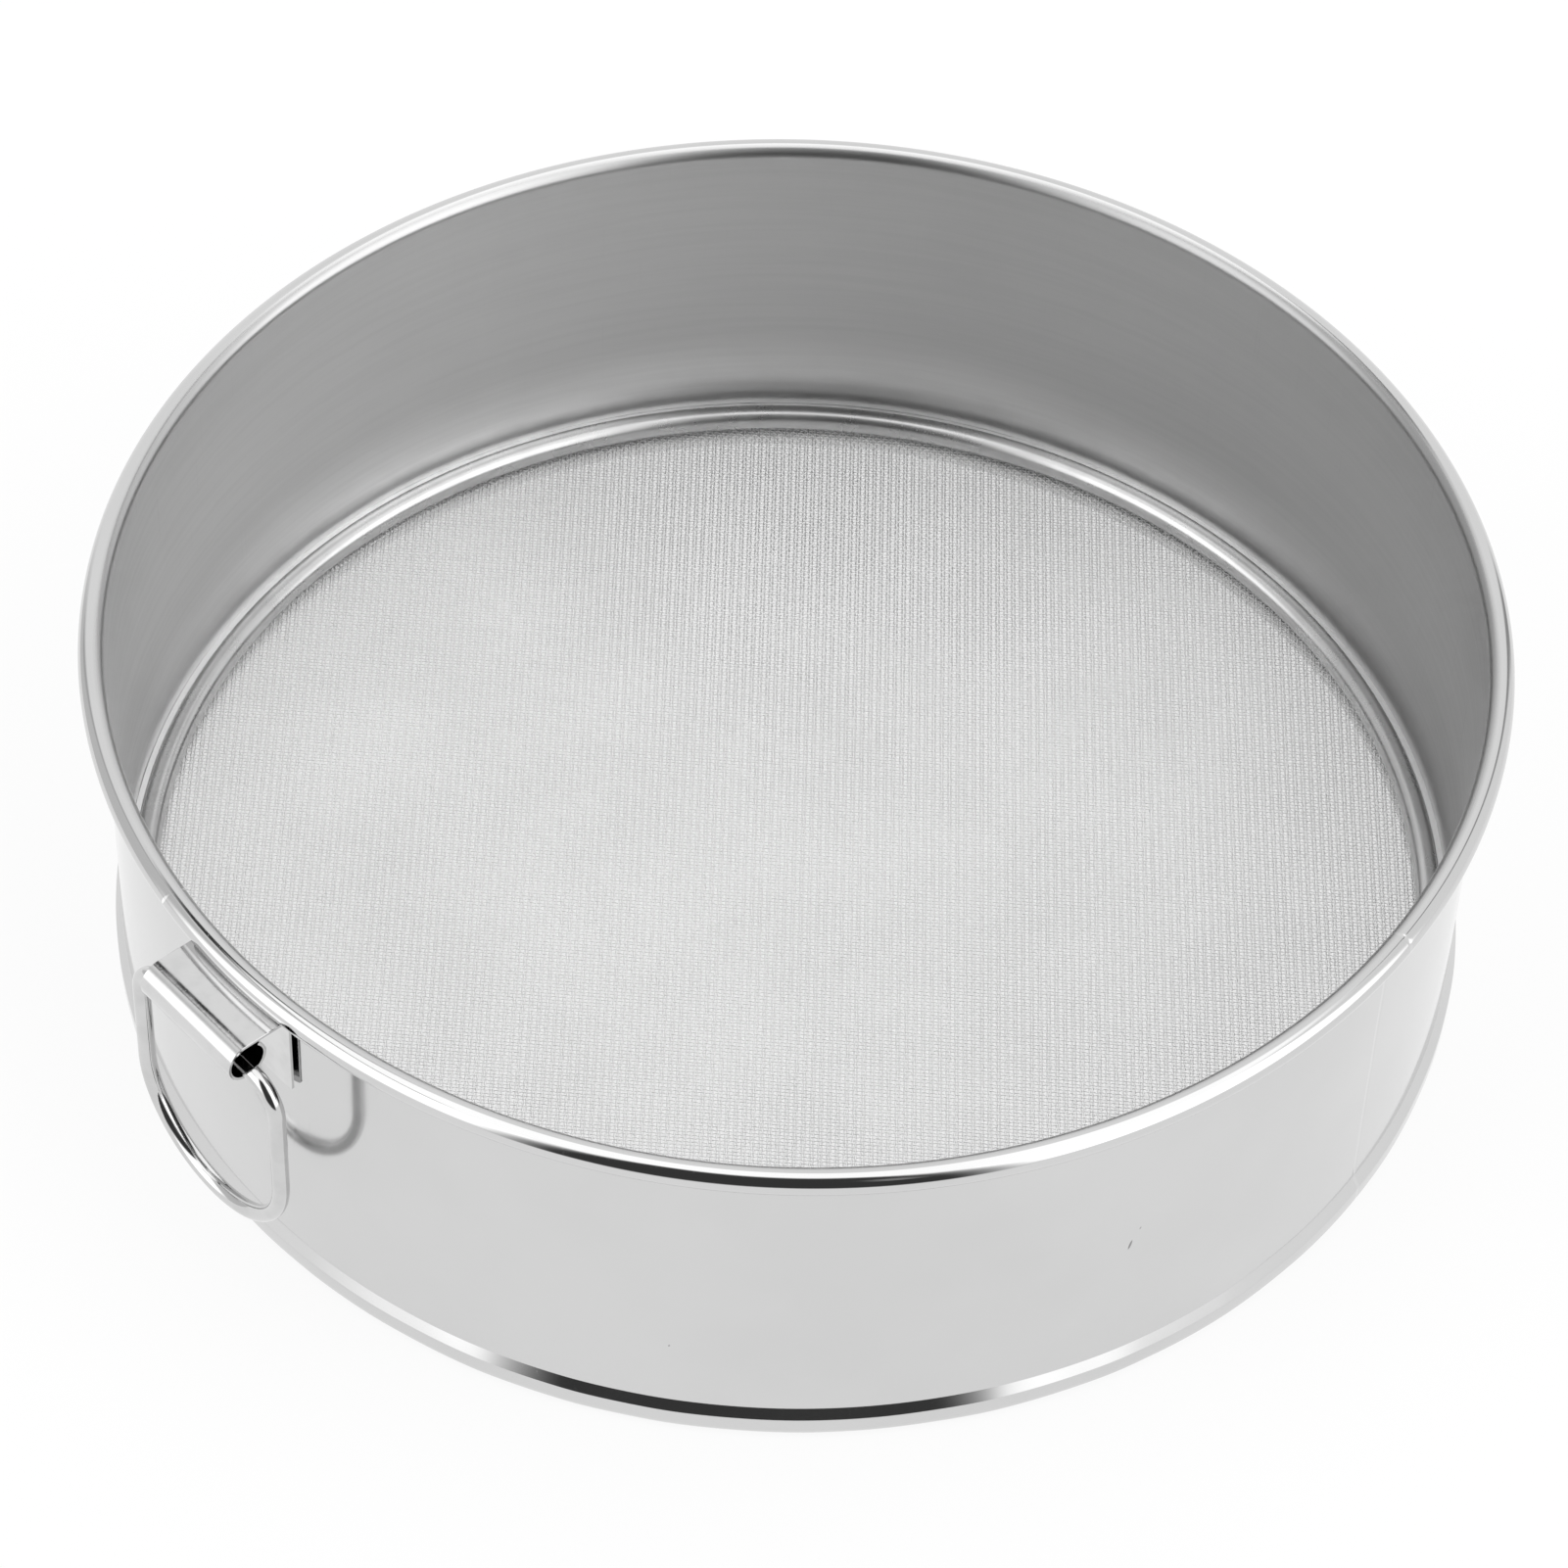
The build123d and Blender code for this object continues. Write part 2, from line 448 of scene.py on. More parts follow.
def handling_marks():
    """The group of what every piece of steel picks up: smudges, and fine scratches."""
    found = bpy.data.node_groups.get("Handling marks")
    if found:
        return found
    tree, given, out = open_group(
        "Handling marks",
        {
            "Vector": ("Vector", None),
            "Smudge size": ("Float", 0.02),
            "Scratch width": ("Float", 0.0002),
        },
        {"Smudge": "Float", "Scratch": "Float"},
    )
    vector = given.outputs["Vector"]
    smudge_scale = reckon(tree, "DIVIDE", 1.0, given.outputs["Smudge size"])
    cloud = add_node(
        tree, "ShaderNodeTexNoise", Vector=vector, Scale=smudge_scale, Detail=4.0, Roughness=0.6
    )
    join(tree, ramp(tree, cloud.outputs[0], 0.42, 0.72), out.inputs["Smudge"])
    scratch_scale = reckon(tree, "DIVIDE", 1.0, given.outputs["Scratch width"])
    turned = add_node(
        tree, "ShaderNodeMapping", Vector=vector, Rotation=(0.3, 0.9, 0.5), Scale=(1, 1, 0.02)
    )
    hair = add_node(
        tree,
        "ShaderNodeTexNoise",
        Vector=turned.outputs[0],
        Scale=scratch_scale,
        Detail=1.0,
        Roughness=0.5,
    )
    join(tree, ramp(tree, hair.outputs[0], 0.66, 0.8), out.inputs["Scratch"])
    return tree


def unrolled():
    """The group that lays the drum's wall flat: along it, up it, and the distance from the axis."""
    tree, given, out = open_group(
        "Unrolled drum",
        {"Vector": ("Vector", None), "Radius": ("Float", UNROLLED_RADIUS)},
        {"Along": "Float", "Up": "Float", "Reach": "Float", "Flat": "Vector"},
    )
    place = add_node(tree, "ShaderNodeSeparateXYZ", Vector=given.outputs["Vector"])
    x, y, up = place.outputs
    turn = reckon(tree, "ARCTAN2", y, x)
    along = reckon(tree, "MULTIPLY", turn, given.outputs["Radius"])
    squares = reckon(tree, "ADD", reckon(tree, "MULTIPLY", x, x), reckon(tree, "MULTIPLY", y, y))
    reach = reckon(tree, "SQRT", squares)
    flat = add_node(tree, "ShaderNodeCombineXYZ", X=along, Y=up, Z=reach)
    join(tree, along, out.inputs["Along"])
    join(tree, up, out.inputs["Up"])
    join(tree, reach, out.inputs["Reach"])
    join(tree, flat.outputs[0], out.inputs["Flat"])
    return tree


def spot(tree, laid, azimuth, middle, width, length):
    """A small mark on the unrolled drum: one in its middle, nought outside its width and length."""
    wrapped = azimuth - math.tau if azimuth > math.pi else azimuth
    across = reckon(tree, "SUBTRACT", laid.outputs["Along"], wrapped * UNROLLED_RADIUS)
    above = reckon(tree, "SUBTRACT", laid.outputs["Up"], middle)
    leant = reckon(tree, "MULTIPLY_ADD", above, MARK_LEAN, across)
    share_across = reckon(tree, "DIVIDE", leant, width)
    share_above = reckon(tree, "DIVIDE", above, length)
    squares = reckon(
        tree,
        "ADD",
        reckon(tree, "MULTIPLY", share_across, share_across),
        reckon(tree, "MULTIPLY", share_above, share_above),
    )
    return ramp(tree, squares, 1.0, 0.3)


def use_group(tree, group, **inputs):
    """Places a node group with its own values."""
    made = tree.nodes.new("ShaderNodeGroup")
    made.node_tree = group
    for name, value in inputs.items():
        join(tree, value, made.inputs[name.replace("_", " ")])
    return made


def bare_steel(name):
    """A new steel material: its tree, its shader and the coordinates its patterns use."""
    material = bpy.data.materials.new(name)
    material.use_nodes = True
    tree = material.node_tree
    shader = tree.nodes["Principled BSDF"]
    shader.inputs["Metallic"].default_value = 1.0
    coordinates = tree.nodes.new("ShaderNodeTexCoord").outputs["Object"]
    return material, tree, shader, coordinates


def shade(colour, share):
    """A colour made darker or lighter."""
    return (*(channel * share for channel in colour), 1.0)


def add_relief(tree, shader, height, depth):
    """Gives the surface fine relief of that depth."""
    bump = add_node(tree, "ShaderNodeBump", Strength=1.0, Distance=depth, Height=height)
    tree.links.new(bump.outputs[0], shader.inputs["Normal"])


def strip_areas(tree, laid, drum):
    """Masks of the strip: its inner face, and all that is satin, the bead's inner flank too."""
    up, reach = laid.outputs["Up"], laid.outputs["Reach"]
    wall_middle = drum.diameter / 2 - drum.bead_radius * 2 + drum.gauge / 2
    bead_middle = drum.diameter / 2 - drum.bead_radius
    bead_line = drum.height - drum.bead_radius * 1.4
    skin_blur = drum.gauge / 6
    bead_blur = drum.gauge * 2
    inner = ramp(tree, reach, wall_middle + skin_blur, wall_middle - skin_blur)
    on_bead = ramp(tree, up, bead_line - bead_blur, bead_line + bead_blur)
    flank_outer = bead_middle - drum.bead_radius * 0.1
    flank_inner = bead_middle - drum.bead_radius * 0.7
    flank = ramp(tree, reach, flank_outer, flank_inner)
    return inner, reckon(tree, "MAXIMUM", inner, reckon(tree, "MULTIPLY", flank, on_bead))


def satin_colour(tree, coordinates, up, streaks, finish):
    """The inner wall's colour: a painted highlight near the foot, faint streaks along it, and painted
    shade to one side.
    """
    highlight_top, highlight_foot = 0.028, 0.01
    painted_shade_reach = UNROLLED_RADIUS
    # Painted highlight: the satin is made lighter towards the foot, by the clamp ring.
    rubbed = ramp(tree, up, highlight_top, highlight_foot)
    colour = tinted(tree, rubbed, shade(finish.satin_colour, 1), shade(finish.satin_colour, 1.5))
    lines = reckon(tree, "MULTIPLY", ramp(tree, streaks, 0.35, 0.7), 0.06)
    colour = tinted(tree, lines, colour, shade(finish.satin_colour, 0.4))
    # Painted shade: the satin is made darker towards positive X.
    across = add_node(tree, "ShaderNodeSeparateXYZ", Vector=coordinates).outputs["X"]
    side = reckon(tree, "MULTIPLY", ramp(tree, across, -painted_shade_reach, painted_shade_reach), 0.42)
    return tinted(tree, side, colour, shade(finish.satin_colour, 0.3))


def weld_line(tree, coordinates, drum):
    """One along the ground weld of the strip's ends, with edges that wander a little."""
    wander_size, wander_reach = 0.012, 0.0008
    turned = add_node(
        tree,
        "ShaderNodeMapping",
        {"vector_type": "TEXTURE"},
        Vector=coordinates,
        Rotation=(0, 0, drum.seam_azimuth),
    )
    place = add_node(tree, "ShaderNodeSeparateXYZ", Vector=turned.outputs[0])
    cloud = mottle(tree, coordinates, size=wander_size)
    wander = reckon(tree, "MULTIPLY_ADD", cloud, wander_reach, -wander_reach / 2)
    off_line = reckon(tree, "ABSOLUTE", reckon(tree, "ADD", place.outputs["Y"], wander))
    near = ramp(tree, off_line, drum.seam_width, drum.seam_width * 0.4)
    return reckon(tree, "MULTIPLY", near, reckon(tree, "GREATER_THAN", place.outputs["X"], 0.0))


def wall_steel(finish, drum):
    """The strip: polished outside and on its bead and foot, satin inside, with its ground weld."""
    material, tree, shader, coordinates = bare_steel("Rolled strip steel")
    laid = use_group(tree, unrolled(), Vector=coordinates)
    flat = laid.outputs["Flat"]
    marks = use_group(
        tree, handling_marks(), Vector=coordinates, Smudge_size=0.03, Scratch_width=0.0005
    )
    inner, satin = strip_areas(tree, laid, drum)
    streaks = mottle(tree, flat, size=0.0012, detail=3.0, stretch=(30, 1, 1))
    rolling = mottle(tree, flat, size=0.0005, detail=2.0, stretch=(60, 1, 1))
    tarnish = mottle(tree, coordinates, size=0.05, detail=3.0)
    seam = weld_line(tree, coordinates, drum)

    polish = reckon(tree, "MULTIPLY_ADD", marks.outputs["Smudge"], 0.05, finish.polish)
    dull = reckon(tree, "MULTIPLY_ADD", streaks, 0.1, finish.satin - 0.05)
    roughness = between(tree, satin, polish, dull)
    roughness = reckon(tree, "MULTIPLY_ADD", marks.outputs["Scratch"], 0.08, roughness)
    tree.links.new(roughness, shader.inputs["Roughness"])

    # The satin colour holds a painted highlight near the foot and painted shade to one side.
    satin_and_painted_light = satin_colour(tree, coordinates, laid.outputs["Up"], streaks, finish)
    colour = tinted(tree, satin, shade(finish.sheet_colour, 1), satin_and_painted_light)
    worn = reckon(tree, "MULTIPLY", ramp(tree, tarnish, 0.35, 0.7), 0.06)
    colour = tinted(tree, worn, colour, shade(finish.sheet_colour, 0.4))
    ground = reckon(tree, "MULTIPLY", seam, 0.15)
    colour = tinted(tree, ground, colour, shade(finish.sheet_colour, 1.3))
    outside = reckon(tree, "SUBTRACT", 1.0, inner)
    for azimuth, middle, width, length, strength in MARKS:
        mark = spot(tree, laid, math.radians(azimuth), middle, width, length)
        mark = reckon(tree, "MULTIPLY", mark, outside)
        tone = shade(finish.sheet_colour, 0.25 if strength > 0 else 1.5)
        colour = tinted(tree, reckon(tree, "MULTIPLY", mark, abs(strength)), colour, tone)
    tree.links.new(colour, shader.inputs["Base Color"])

    grain = reckon(tree, "MULTIPLY", between(tree, satin, 0.05, 1.0), rolling)
    height = reckon(tree, "MULTIPLY_ADD", seam, -2.0, grain)
    add_relief(tree, shader, height, depth=0.0000025)
    return material


def screen_steel(finish):
    """Bright drawn wire of the weave, a little duller where flour has rubbed it."""
    material, tree, shader, coordinates = bare_steel("Woven mesh wire")
    marks = use_group(
        tree, handling_marks(), Vector=coordinates, Smudge_size=0.012, Scratch_width=0.0003
    )
    wires = mottle(tree, coordinates, size=0.0015, detail=2.0)
    patches = mottle(tree, coordinates, size=0.03, detail=3.0)
    roughness = reckon(tree, "MULTIPLY_ADD", wires, 0.12, finish.drawn - 0.06)
    roughness = reckon(tree, "MULTIPLY_ADD", marks.outputs["Smudge"], 0.05, roughness)
    tree.links.new(roughness, shader.inputs["Roughness"])
    colour = tinted(
        tree,
        ramp(tree, patches, 0.3, 0.75),
        shade(finish.wire_colour, 1.02),
        shade(finish.wire_colour, 0.97),
    )
    tree.links.new(colour, shader.inputs["Base Color"])
    add_relief(tree, shader, mottle(tree, coordinates, size=0.0002, detail=2.0), depth=0.000002)
    return material


def wire_steel(name, finish, roughness, darker):
    """Round wire: polished, with faint draw marks and smudges."""
    material, tree, shader, coordinates = bare_steel(name)
    marks = use_group(
        tree, handling_marks(), Vector=coordinates, Smudge_size=0.01, Scratch_width=0.0003
    )
    rough = reckon(tree, "MULTIPLY_ADD", marks.outputs["Smudge"], 0.06, roughness)
    rough = reckon(tree, "MULTIPLY_ADD", marks.outputs["Scratch"], 0.1, rough)
    tree.links.new(rough, shader.inputs["Roughness"])
    colour = tinted(
        tree,
        ramp(tree, mottle(tree, coordinates, size=0.008, detail=4.0), 0.4, 0.7),
        shade(finish.sheet_colour, darker),
        shade(finish.sheet_colour, darker * 0.92),
    )
    tree.links.new(colour, shader.inputs["Base Color"])
    add_relief(tree, shader, mottle(tree, coordinates, size=0.0008, detail=3.0), depth=0.0000006)
    return material


def clip_steel(finish):
    """Bright sheet of the clip, with smudges, scratches and a faintly uneven face."""
    material, tree, shader, coordinates = bare_steel("Pressed clip steel")
    marks = use_group(
        tree, handling_marks(), Vector=coordinates, Smudge_size=0.008, Scratch_width=0.0004
    )
    rough = reckon(tree, "MULTIPLY_ADD", marks.outputs["Smudge"], 0.06, finish.polish)
    rough = reckon(tree, "MULTIPLY_ADD", marks.outputs["Scratch"], 0.15, rough)
    tree.links.new(rough, shader.inputs["Roughness"])
    colour = tinted(
        tree,
        ramp(tree, mottle(tree, coordinates, size=0.006, detail=4.0), 0.4, 0.75),
        shade(finish.sheet_colour, 1.03),
        shade(finish.sheet_colour, 0.93),
    )
    tree.links.new(colour, shader.inputs["Base Color"])
    add_relief(tree, shader, mottle(tree, coordinates, size=0.0008, detail=2.0), depth=0.000003)
    return material


# Pieces


def settle(bm, drum):
    """Takes the hoop a little out of true, as hand rolling leaves it, most of all along the foot."""
    bead_foot = drum.height - drum.bead_radius * 2
    bead_reach = drum.diameter / 2 - drum.bead_radius
    wall_fade, foot_fade = 0.01, 0.006
    broad_across, broad_up, fine_across = 0.07, 0.05, 0.011
    fine_layer = 3.7
    inward_play, top_play = 0.00004, 0.00001
    for vertex in bm.verts:
        place = vertex.co
        reach = math.hypot(place.x, place.y)
        wall_share = min(1, max(0, (bead_foot - place.z) / wall_fade))
        foot_share = min(1, max(0, 1 - (place.z - drum.hem_height) / foot_fade))
        spread = (place.x / broad_across, place.y / broad_across, place.z / broad_up)
        broad = noise.noise(Vector(spread)) * (0.3 + 0.7 * wall_share) - 0.3
        fine = noise.noise(Vector((place.x / fine_across, place.y / fine_across, fine_layer)))
        shift = drum.waviness * (broad + fine * foot_share)
        if reach > bead_reach:
            shift -= inward_play
        if place.z > bead_foot:
            place.z -= top_play
        scale = (reach + shift) / reach
        vertex.co = Vector((place.x * scale, place.y * scale, place.z))


def cut_seam(bm, drum):
    """Presses the ground weld in a hair where the strip's ends meet."""
    across = Vector((-math.sin(drum.seam_azimuth), math.cos(drum.seam_azimuth), 0))
    outward = Vector((math.cos(drum.seam_azimuth), math.sin(drum.seam_azimuth), 0))
    strip_reach = drum.seam_width * 6
    for share in (-1, -0.4, 0, 0.4, 1):
        near = []
        for face in bm.faces:
            middle = face.calc_center_median()
            if abs(middle.dot(across)) < strip_reach and middle.dot(outward) > 0:
                near.append(face)
        geometry = {*near, *(edge for face in near for edge in face.edges)}
        geometry |= {vertex for face in near for vertex in face.verts}
        bmesh.ops.bisect_plane(
            bm,
            geom=list(geometry),
            plane_co=across * share * drum.seam_width,
            plane_no=across,
            dist=TOUCH / 10,
        )
    bm.normal_update()
    for vertex in bm.verts:
        if abs(vertex.co.dot(across)) < drum.seam_width * 0.6 and vertex.co.dot(outward) > 0:
            vertex.co -= vertex.normal * drum.seam_width * 0.05


class SIEVE_OT_drum(bpy.types.Operator):
    """Build the hoop with its hem, foot, wall and rolled rim bead."""

    bl_idname = "sieve.drum"
    bl_label = "Drum"
    bl_options = {"REGISTER", "UNDO"}

    def execute(self, context):
        settings = context.scene.sieve
        drum = settings.drum
        rings = settings.rings
        bead_centre = drum.diameter / 2 - drum.bead_radius
        wall_outer = bead_centre - drum.bead_radius + drum.gauge

        # The straight shoulder covers what its two arcs leave of the bulge
        heel_centre = wall_outer + drum.foot_bulge - drum.heel_radius
        slope = drum.shoulder_angle
        arcs = drum.edge_radius + drum.neck_radius
        shoulder = (drum.foot_bulge - arcs * (1 - math.cos(slope))) / math.sin(slope)
        neck_top = drum.shoulder_height + arcs * math.sin(slope) + shoulder * math.cos(slope)
        curl_end = (drum.bead_radius - drum.gauge - drum.bead_gap) / drum.bead_radius
        clamp_centre = rings.clamp_diameter / 2

        steps = [
            (None, drum.hem_lap),
            (drum.hem_height / 2, HALF_TURN),
            (None, heel_centre - clamp_centre),
            (drum.heel_radius, QUARTER_TURN),
            (None, drum.shoulder_height - drum.heel_radius),
            (drum.edge_radius, slope),
            (None, shoulder),
            (drum.neck_radius, -slope),
            (None, drum.height - drum.bead_radius - neck_top),
            (drum.bead_radius - drum.gauge, -HALF_TURN - math.acos(-curl_end)),
        ]
        bm = bmesh.new()
        draw_profile(
            bm,
            (clamp_centre + drum.hem_lap, drum.hem_height),
            INWARD,
            both_skins(steps, drum.gauge),
            ARC_STEP,
            HOOP_RUN_STEP,
        )
        spin_round(bm, HOOP_STEPS)
        close_up(bm)
        cut_seam(bm, drum)
        settle(bm, drum)
        bm.normal_update()
        as_piece(bm, "drum_hoop", wall_steel(settings.finish, drum), "drum", "wall_steel", "drum_wall")
        return {"FINISHED"}


class SIEVE_OT_rim_wire(bpy.types.Operator):
    """Finish the wire inside the rim bead, which keeps its CAD shape."""

    bl_idname = "sieve.rim_wire"
    bl_label = "Rim wire"
    bl_options = {"REGISTER", "UNDO"}

    def execute(self, context):
        material = wire_steel("Drawn core wire", context.scene.sieve.finish, 0.35, 0.88)
        wire = frame["nodes"]["top_rim_wire"]
        wire.data.materials.clear()
        wire.data.materials.append(material)
        return {"FINISHED"}


class SIEVE_OT_screen(bpy.types.Operator):
    """Weave the mesh screen, wire by wire, with its edge turned up at the wall."""

    bl_idname = "sieve.screen"
    bl_label = "Mesh screen"
    bl_options = {"REGISTER", "UNDO"}

    def execute(self, context):
        settings = context.scene.sieve
        screen = settings.screen
        material = screen_steel(settings.finish)
        chance = random.Random(SEED)
        across_warp = Vector((math.cos(screen.warp_turn), math.sin(screen.warp_turn)))
        across_weft = Vector((math.cos(screen.weft_turn), math.sin(screen.weft_turn)))

        # A place in the weave is so many pitches across the warp and so many across the weft
        shear = across_warp.x * across_weft.y - across_warp.y * across_weft.x
        warp_way = Vector((across_weft.y, -across_weft.x)) / shear
        weft_way = Vector((-across_warp.y, across_warp.x)) / shear

        radius = screen.wire_diameter / 2
        edge_reach = rounded(SCREEN_HIGH.x, 2)
        thickness = SCREEN_HIGH.x - CLAMP_HIGH.x - EDGE_PLAY
        middle = SCREEN_LOW.z + thickness / 2
        flat_reach = settings.rings.clamp_diameter / 2 + radius
        count = math.ceil(flat_reach / screen.pitch)
        shift_share, drift_span, stray_run = 0.3, 40, 0.03

        for name, own_way, cross_way, phase, lean in (
            ("warp_wires", warp_way, weft_way, 0, screen.pairing),
            ("weft_wires", weft_way, warp_way, 1, screen.pairing / 4),
        ):
            parts = []
            for part in range(WIRE_PIECES):
                curve = bpy.data.curves.new(f"{name}_{part + 1}", "CURVE")
                curve.dimensions = "3D"
                curve.bevel_depth = radius
                curve.bevel_resolution = 0
                curve.use_fill_caps = True
                parts.append(curve)
            for row in range(-count, count + 1):
                offset = row * screen.pitch
                offset += chance.uniform(-shift_share, shift_share) * screen.stray
                offset += lean if row % 2 else -lean
                drift = chance.uniform(-drift_span, drift_span)
                places = []
                for crossing in range(-count, count + 1):
                    over = 1 if (row + crossing + phase) % 2 else -1
                    along = crossing * screen.pitch
                    stray = screen.stray * noise.noise(Vector((along / stray_run, drift, 0.5)))
                    flat = own_way * (offset + stray) + cross_way * along
                    if flat.length < flat_reach:
                        places.append((flat.x, flat.y, middle + over * radius, 1))
                if len(places) < 2:
                    continue
                spline = parts[row % WIRE_PIECES].splines.new("POLY")
                spline.points.add(len(places) - 1)
                spline.points.foreach_set("co", [number for place in places for number in place])
                spline.use_smooth = True
            for curve in parts:
                curve.materials.append(material)
                piece = bpy.data.objects.new(curve.name, curve)
                context.scene.collection.objects.link(piece)
                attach(piece, "drum")
                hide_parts("mesh_screen")

        steps = [
            (None, edge_reach - screen.bend - settings.rings.clamp_diameter / 2),
            (screen.bend, QUARTER_TURN),
            (None, rounded(SCREEN_HIGH.z - SCREEN_LOW.z, 1) - screen.bend),
        ]
        bm = bmesh.new()
        start = (settings.rings.clamp_diameter / 2, SCREEN_LOW.z)
        draw_profile(
            bm, start, OUTWARD, both_skins(steps, thickness), SCREEN_ARC_STEP, SCREEN_RUN_STEP
        )
        spin_round(bm, RING_STEPS)
        close_up(bm)
        as_piece(bm, "screen_edge", material, "drum", "mesh_wire", "mesh_screen")
        return {"FINISHED"}


class SIEVE_OT_clamp_ring(bpy.types.Operator):
    """Build the wire ring that jams the screen's edge against the wall."""

    bl_idname = "sieve.clamp_ring"
    bl_label = "Clamp ring"
    bl_options = {"REGISTER", "UNDO"}

    def execute(self, context):
        settings = context.scene.sieve
        rings = settings.rings
        bm = bmesh.new()
        bmesh.ops.create_circle(bm, radius=rings.clamp_radius, segments=CLAMP_WIRE_SIDES)
        bmesh.ops.rotate(bm, verts=bm.verts[:], matrix=Matrix.Rotation(QUARTER_TURN, 3, "X"))
        middle = (CLAMP_LOW.z + CLAMP_HIGH.z) / 2
        bmesh.ops.translate(bm, verts=bm.verts[:], vec=(rings.clamp_diameter / 2, 0, middle))
        spin_round(bm, RING_STEPS)
        close_up(bm)
        material = wire_steel("Clamp ring wire", settings.finish, settings.finish.clamp, 0.9)
        as_piece(bm, "clamp_ring", material, "drum", "ring_wire", "retaining_ring")
        return {"FINISHED"}


def at_hanger(drum):
    """What takes X outward and Y along the wall to the hanger, and how far out the eye is."""
    wall_outer = drum.diameter / 2 - drum.bead_radius * 2 + drum.gauge
    turn = Matrix.Rotation(math.atan2(HINGE.y, HINGE.x), 4, "Z")
    return turn @ Matrix.Translation((wall_outer, 0, 0)), HINGE.xy.length - wall_outer


class SIEVE_OT_clip(bpy.types.Operator):
    """Build the clip: its flange on the wall, its leaf and its curled eye."""

    bl_idname = "sieve.clip"
    bl_label = "Hanger clip"
    bl_options = {"REGISTER", "UNDO"}

    def execute(self, context):
        settings = context.scene.sieve
        clip = settings.clip
        matrix, eye_reach = at_hanger(settings.drum)
        foot = clip.top - clip.flange
        steps = [
            (None, clip.flange - clip.bend),
            (clip.bend, -QUARTER_TURN),
            (None, eye_reach - clip.bend - clip.play),
            (clip.eye_radius, -clip.eye_wrap),
        ]
        bm = bmesh.new()
        draw_profile(
            bm, (clip.play, foot), UPWARD, both_skins(steps, -clip.gauge), ARC_STEP, CLIP_RUN_STEP
        )
        bmesh.ops.translate(bm, verts=bm.verts[:], vec=(0, -clip.width / 2, 0))
        side = bmesh.ops.contextual_create(bm, geom=bm.edges[:])["faces"]
        grown = bmesh.ops.extrude_face_region(bm, geom=side)["geom"]
        far = [item for item in grown if isinstance(item, bmesh.types.BMVert)]
        bmesh.ops.translate(bm, verts=far, vec=(0, clip.width, 0))
        close_up(bm)
        lower_corners = [
            edge
            for edge in bm.edges
            if all(vertex.co.z < foot + TOUCH for vertex in edge.verts)
            and abs(edge.verts[0].co.y - edge.verts[1].co.y) < TOUCH
        ]
        bmesh.ops.bevel(
            bm,
            geom=lower_corners,
            offset=clip.corner,
            segments=CLIP_CORNER_STEPS,
            profile=0.5,
            affect="EDGES",
            material=-1,
        )
        rims = [edge for edge in bm.edges if edge.calc_face_angle(0.0) > SHEARED_ANGLE]
        bmesh.ops.bevel(
            bm, geom=rims, offset=clip.edge, segments=2, profile=0.5, affect="EDGES", material=-1
        )
        close_up(bm)
        bmesh.ops.transform(bm, matrix=matrix, verts=bm.verts[:])
        as_piece(bm, "hanger_clip", clip_steel(settings.finish), "drum", "clip_steel", "hanger_bracket")
        return {"FINISHED"}


class SIEVE_OT_pull_ring(bpy.types.Operator):
    """Build the D ring that swings in the clip's eye."""

    bl_idname = "sieve.pull_ring"
    bl_label = "Pull ring"
    bl_options = {"REGISTER", "UNDO"}

    def execute(self, context):
        settings = context.scene.sieve
        rings = settings.rings
        matrix, eye_reach = at_hanger(settings.drum)
        half_bar = rings.half_width - rings.corner
        bm = bmesh.new()
        bmesh.ops.create_circle(bm, radius=rings.pull_radius, segments=PULL_WIRE_SIDES)
        bmesh.ops.rotate(bm, verts=bm.verts[:], matrix=Matrix.Rotation(QUARTER_TURN, 3, "X"))
        bmesh.ops.translate(bm, verts=bm.verts[:], vec=(0, -half_bar, 0))
        section = bm.edges[:]

        def run(vector):
            """Carries the section straight on."""
            grown = bmesh.ops.extrude_edge_only(bm, edges=section)["geom"]
            moved = [item for item in grown if isinstance(item, bmesh.types.BMVert)]
            edges = [item for item in grown if isinstance(item, bmesh.types.BMEdge)]
            bmesh.ops.translate(bm, verts=moved, vec=vector)
            return [edge for edge in edges if all(vertex in moved for vertex in edge.verts)]

        def bend(centre, angle, pieces):
            """Carries the section round a bend, clockwise seen from outside the drum."""
            last = bmesh.ops.spin(
                bm,
                geom=section,
                cent=centre,
                axis=(-1, 0, 0),
                angle=angle,
                steps=pieces,
            )["geom_last"]
            return [item for item in last if isinstance(item, bmesh.types.BMEdge)]

        leg = rings.drop - rings.corner
        section = run((0, 2 * half_bar, 0))
        section = bend((0, half_bar, -rings.corner), QUARTER_TURN, CORNER_STEPS)
        section = run((0, 0, -leg))
        section = bend((0, 0, -rings.drop), HALF_TURN, BOW_STEPS)
        section = run((0, 0, leg))
        section = bend((0, -half_bar, -rings.corner), QUARTER_TURN, CORNER_STEPS)
        close_up(bm)
        bmesh.ops.translate(bm, verts=bm.verts[:], vec=(eye_reach, rings.slide, HINGE.z))
        bmesh.ops.transform(bm, matrix=matrix, verts=bm.verts[:])
        material = wire_steel("Pull ring wire", settings.finish, settings.finish.polish, 0.97)
        as_piece(bm, "pull_ring", material, "ring", "ring_wire", "hanging_ring")
        return {"FINISHED"}


# Studio


